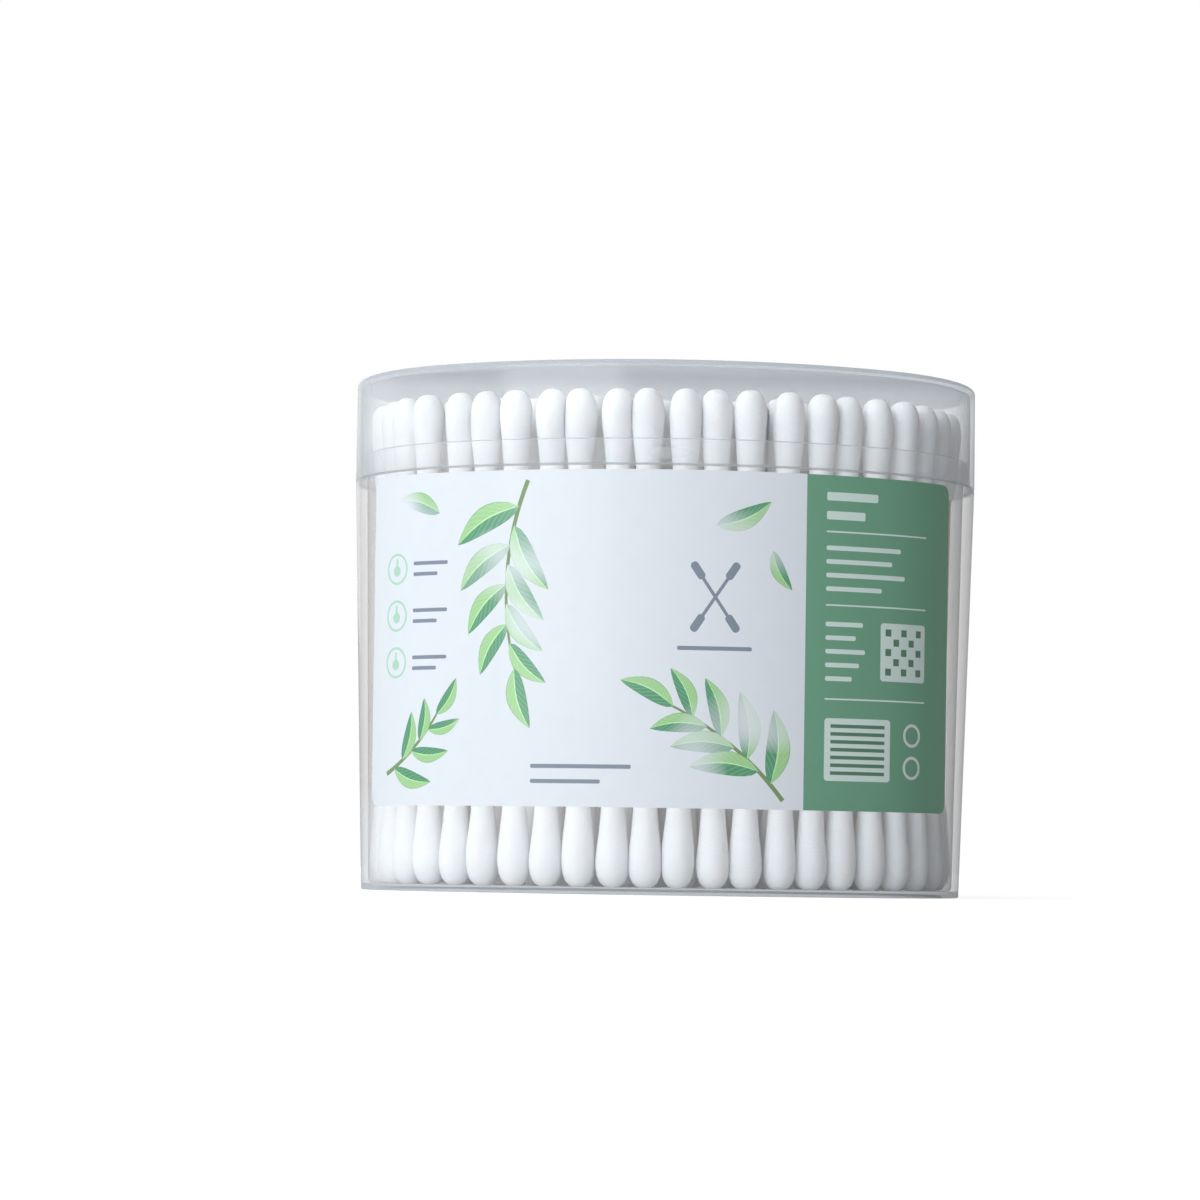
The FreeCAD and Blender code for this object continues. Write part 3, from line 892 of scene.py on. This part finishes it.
def draw_panel_marks(bm, left, low):
    """Pale bars, dividers, a framed square, a ruled box and two rings, in place of words."""

    def at(across, level):
        return left + (PANEL_MARGIN + across) * MM, low + level * MM

    bar_corner, frame_corner = 0.25 * MM, 0.5 * MM
    inner, outer = 1.3 * MM, 1.75 * MM
    for half_height, bars in PANEL_BARS:
        for level, width in bars:
            flat_box(bm, at(width / 2, level), in_mm(width / 2, half_height), bar_corner)
    for level in DIVIDERS:
        flat_box(bm, at(DIVIDER_HALF[0], level), in_mm(*DIVIDER_HALF))
    flat_box(bm, at(*SQUARE_AT), in_mm(*SQUARE_HALF), frame_corner)
    flat_box(bm, at(*RULED_AT), in_mm(*RULED_HALF), frame_corner)
    for row in range(-3, 4):
        flat_lifted(bm, at(RULED_AT[0], RULED_AT[1] + row * RULE_PITCH), in_mm(*RULE_HALF))
    for column in range(-2, 3):
        for row in range(-2, 3):
            if (column + row) % 2 == 0:
                place = (SQUARE_AT[0] + column * CELL_PITCH, SQUARE_AT[1] + row * CELL_PITCH)
                flat_lifted(bm, at(*place), in_mm(*CELL_HALF))
    for place in RINGS_AT:
        flat_ring(bm, at(*place), inner, outer)


def in_mm(*values):
    """Lengths given in mm."""
    return tuple(value * MM for value in values)


def flat_lifted(bm, centre, half_size):
    """A small flat rectangle in the second ink, a hair above what it is printed over."""
    known = set(bm.verts)
    flat_box(bm, centre, half_size, finish=SECOND_INK)
    for vertex in bm.verts:
        if vertex not in known:
            vertex.co.z = OVERPRINT


class SWABTUB_OT_sprigs(bpy.types.Operator):
    """Print the leaf sprigs and loose leaves"""

    bl_idname = "swabtub.sprigs"
    bl_label = "Leaf sprigs"

    def execute(self, context):
        tub = context.scene.swabtub_tub
        label = context.scene.swabtub_label
        stems = bmesh.new()
        leaves = bmesh.new()
        leaves.loops.layers.uv.new(LEAF_UV)
        for start, heading, reach, bend, pairs, size in SPRIGS:
            draw_sprig(stems, leaves, start, heading, reach, bend, pairs, size)
        for place, heading, size in LOOSE_LEAVES:
            draw_leaf(leaves, Vector(place) * MM, math.radians(heading), size * MM)
        stem_print = printed("stem_print", label.stem_colour)
        leaf_print = material_of("leaf_print", painted_leaf, label)
        lay_print(stems, tub, label, GROUND_LAYER, "sprig_stems", [stem_print])
        lay_print(leaves, tub, label, LEAF_LAYER, "sprig_leaves", [leaf_print])
        return {"FINISHED"}


def draw_leaf(bm, base, heading, size):
    """A slender pointed leaf, slightly bent, from its base along a heading."""
    widest, bend, low_down, full = 0.17, 0.09, 0.85, 0.8
    known = set(bm.verts)
    lift = OVERPRINT / 2 * (len(known) % LEAF_HEIGHTS)
    bmesh.ops.create_grid(bm, x_segments=4, y_segments=10, size=0.5, calc_uvs=True)
    turn = Matrix.Rotation(heading - math.pi / 2, 4, "Z")
    for vertex in bm.verts:
        if vertex not in known:
            along = vertex.co.y + 0.5
            half_width = widest * math.sin(math.pi * along**low_down) ** full
            across = vertex.co.x * 2 * half_width + bend * math.sin(math.pi * along)
            vertex.co = turn @ Vector((across, along, 0)) * size
            vertex.co += base.to_3d() + UP * lift


def draw_sprig(stems, leaves, start, heading, reach, bend, pairs, size):
    """A bent stem with leaves by turns on its two sides and one at its end."""
    angle = math.radians(heading)
    turn = math.radians(bend)
    length_along = reach * MM
    base = Vector(start) * MM
    stem_half, stem_thins = 0.34, 0.18
    first_leaf, leafy = 0.14, 0.8
    splay_low, splay_less = 46, 14
    size_low, size_less = 1.05, 0.4
    end_leaf_at, end_leaf_size = 0.97, 0.8

    def at(along):
        half_turn = turn * along / 2
        chord = length_along * along * math.sin(half_turn) / half_turn
        return base + chord * Vector((math.cos(angle + half_turn), math.sin(angle + half_turn)))

    known = set(stems.verts)
    bmesh.ops.create_grid(stems, x_segments=1, y_segments=16, size=0.5)
    for vertex in stems.verts:
        if vertex not in known:
            along = max(vertex.co.y + 0.5, 0.001)
            way = angle + turn * along
            side = Vector((math.sin(way), -math.cos(way)))
            half_width = (stem_half - stem_thins * along) * MM
            vertex.co = (at(along) + side * vertex.co.x * 2 * half_width).to_3d()
    for index in range(pairs):
        along = first_leaf + leafy * index / pairs
        splay = math.radians(splay_low - splay_less * along) * (1 if index % 2 else -1)
        leaf = size * MM * (size_low - size_less * along)
        draw_leaf(leaves, at(along), angle + turn * along + splay, leaf)
    draw_leaf(leaves, at(end_leaf_at), angle + turn, size * MM * end_leaf_size)


class SWABTUB_OT_marks(bpy.types.Operator):
    """Print the round marks, the crossed swabs and the grey lines"""

    bl_idname = "swabtub.marks"
    bl_label = "Marks"

    def execute(self, context):
        tub = context.scene.swabtub_tub
        label = context.scene.swabtub_label
        bm = bmesh.new()
        half_height, corner = 0.3 * MM, 0.2 * MM
        for place in ROUND_MARKS:
            draw_round_mark(bm, Vector(place) * MM)
        for start, level, width in GREY_LINES:
            half_size = (width / 2 * MM, half_height)
            flat_box(bm, in_mm(start + width / 2, level), half_size, corner, SECOND_INK)
        for tilt in (-CROSSED_TILT, CROSSED_TILT):
            heading = math.radians(90 + tilt)
            draw_small_swab(bm, Vector(CROSSED_AT) * MM, heading, CROSSED_LENGTH * MM)
        inks = [printed("mark_green", label.mark_colour), printed("line_grey", label.text_colour)]
        lay_print(bm, tub, label, MARK_LAYER, "label_marks", inks)
        return {"FINISHED"}


def draw_round_mark(bm, centre):
    """A pale green ring round a drop, with two short lines beside it."""
    drop_fall, drop = 0.3 * MM, 0.8 * MM
    point_rise, point_half, point_corner = 0.8 * MM, in_mm(0.22, 0.75), 0.15 * MM
    line_start, line_half, line_corner = 3.6, 0.28 * MM, 0.2 * MM
    flat_ring(bm, centre, *in_mm(2.0, 2.35))
    flat_disc(bm, (centre.x, centre.y - drop_fall), drop)
    flat_box(bm, (centre.x, centre.y + point_rise), point_half, point_corner)
    for rise, width in ((0.7, 6.4), (-0.9, 4.6)):
        middle = (centre.x + (line_start + width / 2) * MM, centre.y + rise * MM)
        flat_box(bm, middle, (width / 2 * MM, line_half), line_corner, SECOND_INK)


def draw_small_swab(bm, centre, heading, size):
    """A swab drawn in grey: a thin stick with two round-ended tips."""
    stick = (size / 2, size * 0.022)
    tip = (size * 0.13, size * 0.055)
    tip_at, tip_corner = size * 0.42, size * 0.05
    known = set(bm.verts)
    flat_box(bm, (0, 0), stick, finish=SECOND_INK)
    for side in (-1, 1):
        flat_box(bm, (side * tip_at, 0), tip, tip_corner, SECOND_INK)
    made = [vertex for vertex in bm.verts if vertex not in known]
    place = Matrix.Translation(centre.to_3d()) @ Matrix.Rotation(heading, 4, "Z")
    bmesh.ops.transform(bm, matrix=place, verts=made)


# Swabs


def stick_places(node):
    """Centres of the sticks in a CAD node."""
    bm = bmesh.new()
    bm.from_mesh(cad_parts[node].data)
    bmesh.ops.remove_doubles(bm, verts=bm.verts, dist=MERGE)
    left = set(bm.verts)
    places = []
    while left:
        group = []
        reached = [left.pop()]
        while reached:
            vertex = reached.pop()
            group.append(vertex.co.copy())
            for edge in vertex.link_edges:
                other = edge.other_vert(vertex)
                if other in left:
                    left.discard(other)
                    reached.append(other)
        middle = sum(group, Vector()) / len(group)
        places.append(Vector((middle.x, middle.y, 0)))
    bm.free()
    return sorted(places, key=lambda place: (round(place.y, 6), place.x))


def lean(place, swab, randomness, on_ring):
    """How one swab stands: an outer one leans to the wall, an inner one strays any way."""
    out = place.normalized() if place.length > MM else Vector((1, 0, 0))
    side = out.cross(UP)
    if on_ring:
        foot = side * randomness.uniform(-1, 1) * swab.ring_stray - out * swab.foot_room
        top = out * randomness.uniform(LEAST_LEAN, 1) * swab.lean_out
        top += side * randomness.uniform(-1, 1) * swab.lean_side
    else:
        stray, tilt = (
            (out * randomness.uniform(-1, 1) + side * randomness.uniform(-1, 1)) * most
            for most in (swab.inner_stray, swab.inner_lean)
        )
        foot = stray - tilt
        top = tilt * 2
    shear = Matrix.Identity(4)
    height = TIPS_HIGH.z - FLOOR
    shear[0][2] = top.x / height
    shear[1][2] = top.y / height
    spin = Matrix.Rotation(randomness.uniform(0, FULL_TURN), 4, "Z")
    return Matrix.Translation(place + foot + UP * FLOOR) @ shear @ spin


def swab_stands(swab):
    """The stand of every swab: those of the outer ring, then those inside it."""
    randomness = random.Random(swab.seed)
    ring = []
    inner = []
    for node in sorted(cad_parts):
        if node.endswith("_sticks"):
            on_ring = node.startswith("outer_ring")
            stands = ring if on_ring else inner
            for place in stick_places(node):
                stands.append(lean(place, swab, randomness, on_ring))
    return ring, inner


def tip_mesh(swab, sides, profile):
    """One cotton tip, its rounded end at the origin, spun from its outline."""
    bm = bmesh.new()
    points = [bm.verts.new((radius * MM, 0, level * MM)) for level, radius in profile]
    edges = [bm.edges.new(pair) for pair in zip(points, points[1:])]
    bmesh.ops.spin(
        bm, geom=points + edges, cent=(0, 0, 0), axis=UP, angle=FULL_TURN, steps=sides,
        use_merge=True,
    )
    bmesh.ops.remove_doubles(bm, verts=bm.verts, dist=MERGE)
    bmesh.ops.recalc_face_normals(bm, faces=bm.faces)
    for face in bm.faces:
        face.smooth = True
    wider = swab.tip_radius / (max(radius for _, radius in profile) * MM)
    bmesh.ops.scale(bm, vec=(wider, wider, 1), verts=bm.verts)
    return to_mesh(bm, "one_tip")


def add_tips(bm, mesh, stands, seed, lump):
    """Two tips on each swab, each with its own slight swelling and lumps."""
    randomness = random.Random(seed)
    height = TIPS_HIGH.z - FLOOR
    upside_down = Matrix.Translation(UP * height) @ Matrix.Rotation(math.pi, 4, "X")
    for stand in stands:
        for end in (Matrix.Identity(4), upside_down):
            known = len(bm.verts)
            bm.from_mesh(mesh)
            bm.verts.ensure_lookup_table()
            made = bm.verts[known:]
            wide = randomness.uniform(THINNEST, 1.0)
            phase = randomness.uniform(0, FULL_TURN)
            for vertex in made:
                angle = math.atan2(vertex.co.y, vertex.co.x)
                wave = math.sin(2 * angle + phase + LUMP_TWIST * vertex.co.z)
                swell = 1 + lump * (wave - 1) / 2
                vertex.co.x *= wide * swell
                vertex.co.y *= wide * swell
            bmesh.ops.transform(bm, matrix=stand @ end, verts=made)


class SWABTUB_OT_swabs(bpy.types.Operator):
    """Make the cotton tips and the bamboo sticks"""

    bl_idname = "swabtub.swabs"
    bl_label = "Swabs"

    def execute(self, context):
        swab = context.scene.swabtub_swab
        ring, inner = swab_stands(swab)
        cotton = material_of("cotton_fibre", wound_cotton, swab)
        bamboo = material_of("bamboo_wood", bamboo_wood, swab)
        nodes = sorted(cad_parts)
        ring_tips = bmesh.new()
        tip = tip_mesh(swab, swab.ring_sides, RING_TIP)
        add_tips(ring_tips, tip, ring, swab.seed, RING_LUMP)
        piece(ring_tips, "outer_cotton_tips", TUB_BODY, "cotton", [cotton], ["outer_ring_tips"])
        inner_tips = bmesh.new()
        tip = tip_mesh(swab, swab.inner_sides, INNER_TIP)
        add_tips(inner_tips, tip, inner, swab.seed + 1, INNER_LUMP)
        hidden = [node for node in nodes if node.startswith("inner") and node.endswith("_tips")]
        piece(inner_tips, "inner_cotton_tips", TUB_BODY, "cotton", [cotton], hidden)
        sticks = bmesh.new()
        low = STICKS_LOW.z - FLOOR - STICK_OVERLAP
        high = STICKS_HIGH.z - FLOOR + STICK_OVERLAP
        for stand in ring + inner:
            middle = Matrix.Translation(UP * (low + high) / 2)
            bmesh.ops.create_cone(
                sticks, cap_ends=True, segments=swab.stick_sides, radius1=swab.stick_radius,
                radius2=swab.stick_radius, depth=high - low, matrix=stand @ middle,
            )
        for face in sticks.faces:
            face.smooth = len(face.verts) == 4
        hidden = [node for node in nodes if node.endswith("_sticks")]
        piece(sticks, "bamboo_sticks", TUB_BODY, "bamboo", [bamboo], hidden)
        return {"FINISHED"}


# Stage


def seen_directly(look):
    """1 for what the camera sees, straight, mirrored or through glass, and 0 for light."""
    path = look.nodes.new("ShaderNodeLightPath")
    seen = path.outputs["Is Camera Ray"]
    for name in ("Is Glossy Ray", "Is Transmission Ray"):
        seen = look.maths("MAXIMUM", seen, path.outputs[name])
    return seen


def white_floor(look):
    """White floor that keeps the tub's soft shadow."""
    plain, shown = (
        look.add("ShaderNodeBsdfDiffuse", Color=(grey, grey, grey, 1))
        for grey in (FLOOR_GREY, SHOWN_GREY)
    )
    reach = look.nodes.new("ShaderNodeVectorMath")
    reach.operation = "LENGTH"
    look.feed(reach.inputs[0], look.add("ShaderNodeTexCoord", "Object"))
    level = look.maths("MULTIPLY_ADD", reach.outputs["Value"], GLOW_GROWTH, GLOW)
    strength = look.maths("MINIMUM", level, 1.0)
    glow = look.add("ShaderNodeEmission", Color=(1, 1, 1, 1), Strength=strength)
    both = look.by_order(look.nodes.new("ShaderNodeAddShader"), shown, glow)
    return look.mixed(seen_directly(look), plain, both)


def add_lamp(name, place, target, size, energy):
    """A soft area lamp that looks at a point."""
    lamp = bpy.data.lights.new(name, "AREA")
    lamp.shape = "RECTANGLE"
    lamp.size, lamp.size_y = size
    lamp.energy = energy
    lamp.color = LAMP_TONE
    thing = bpy.data.objects.new(name, lamp)
    way = Vector(target) - Vector(place)
    turn = way.to_track_quat("-Z", "Y").to_matrix().to_4x4()
    thing.matrix_world = Matrix.Translation(place) @ turn
    bpy.context.scene.collection.objects.link(thing)


def add_camera(scene, stage):
    """The camera at the photograph's place, tilt and lens."""
    camera = bpy.data.cameras.new("camera")
    camera.lens = stage.lens
    camera.sensor_width = SENSOR
    camera.clip_start = NEAREST
    thing = bpy.data.objects.new("camera", camera)
    tilt = Matrix.Rotation(math.pi / 2 + stage.pitch, 4, "X")
    roll = Matrix.Rotation(stage.roll, 4, "Z")
    thing.matrix_world = Matrix.Translation(stage.camera_place) @ tilt @ roll
    scene.collection.objects.link(thing)
    scene.camera = thing


def light_world(scene, strength):
    """A world that shows white and lights the object less."""
    world = bpy.data.worlds.new("studio")
    world.use_nodes = True
    look = Look(world.node_tree)
    level = look.maths("MULTIPLY_ADD", seen_directly(look), 1 - strength, strength)
    white = look.add("ShaderNodeBackground", Color=(1, 1, 1, 1), Strength=level)
    look.add("ShaderNodeOutputWorld", Surface=white)
    scene.world = world


class SWABTUB_OT_stage(bpy.types.Operator):
    """Make the floor, the lamps, the world and the camera"""

    bl_idname = "swabtub.stage"
    bl_label = "Stage"

    def execute(self, context):
        scene = context.scene
        stage = scene.swabtub_stage
        bm = bmesh.new()
        bmesh.ops.create_grid(bm, x_segments=1, y_segments=1, size=stage.floor_size)
        floor = to_object(bm, "floor", [material_of("floor_white", white_floor)])
        floor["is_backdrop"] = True
        for name, (place, size) in LAMPS.items():
            add_lamp(name, place, (0, 0, LID_TOP / 2), size, getattr(stage, name + "_power"))
        light_world(scene, stage.world)
        add_camera(scene, stage)
        scene.view_settings.view_transform = "Standard"
        return {"FINISHED"}


class SWABTUB_PT_panel(bpy.types.Panel):
    """Buttons and values for the swab tub"""

    bl_idname = "SWABTUB_PT_panel"
    bl_label = "Swab tub"
    bl_space_type = "VIEW_3D"
    bl_region_type = "UI"
    bl_category = "Swab tub"

    def draw(self, context):
        for operator in OPERATORS:
            self.layout.operator(operator.bl_idname)
        for name, group in GROUPS.items():
            box = self.layout.box()
            values = getattr(context.scene, name)
            for field in group.__annotations__:
                box.prop(values, field)


GROUPS = {
    "swabtub_tub": TubSettings,
    "swabtub_label": LabelSettings,
    "swabtub_swab": SwabSettings,
    "swabtub_stage": StageSettings,
}
OPERATORS = (
    SWABTUB_OT_tub,
    SWABTUB_OT_lid,
    SWABTUB_OT_label,
    SWABTUB_OT_panel,
    SWABTUB_OT_sprigs,
    SWABTUB_OT_marks,
    SWABTUB_OT_swabs,
    SWABTUB_OT_stage,
)


def register():
    """Add the values, the operators and the panel to Blender."""
    for name, group in GROUPS.items():
        bpy.utils.register_class(group)
        setattr(bpy.types.Scene, name, bpy.props.PointerProperty(type=group))
    for item in (*OPERATORS, SWABTUB_PT_panel):
        bpy.utils.register_class(item)


def unregister():
    """Take them out again."""
    for item in (SWABTUB_PT_panel, *reversed(OPERATORS)):
        bpy.utils.unregister_class(item)
    for name, group in GROUPS.items():
        delattr(bpy.types.Scene, name)
        bpy.utils.unregister_class(group)


def main():
    """Register, make every piece in order, and work out the sizes at the start and the end."""
    register()
    bpy.ops.swabtub.tub()
    bpy.ops.swabtub.lid()
    bpy.ops.swabtub.label()
    bpy.ops.swabtub.panel()
    bpy.ops.swabtub.sprigs()
    bpy.ops.swabtub.marks()
    bpy.ops.swabtub.swabs()
    bpy.ops.swabtub.stage()
    sizes = {"start": plain(bounds_at_start), "end": plain(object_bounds())}


def plain(bounds):
    """Bounds as plain lists of numbers."""
    return [list(corner) for corner in bounds]


if __name__ == "__main__":
    main()
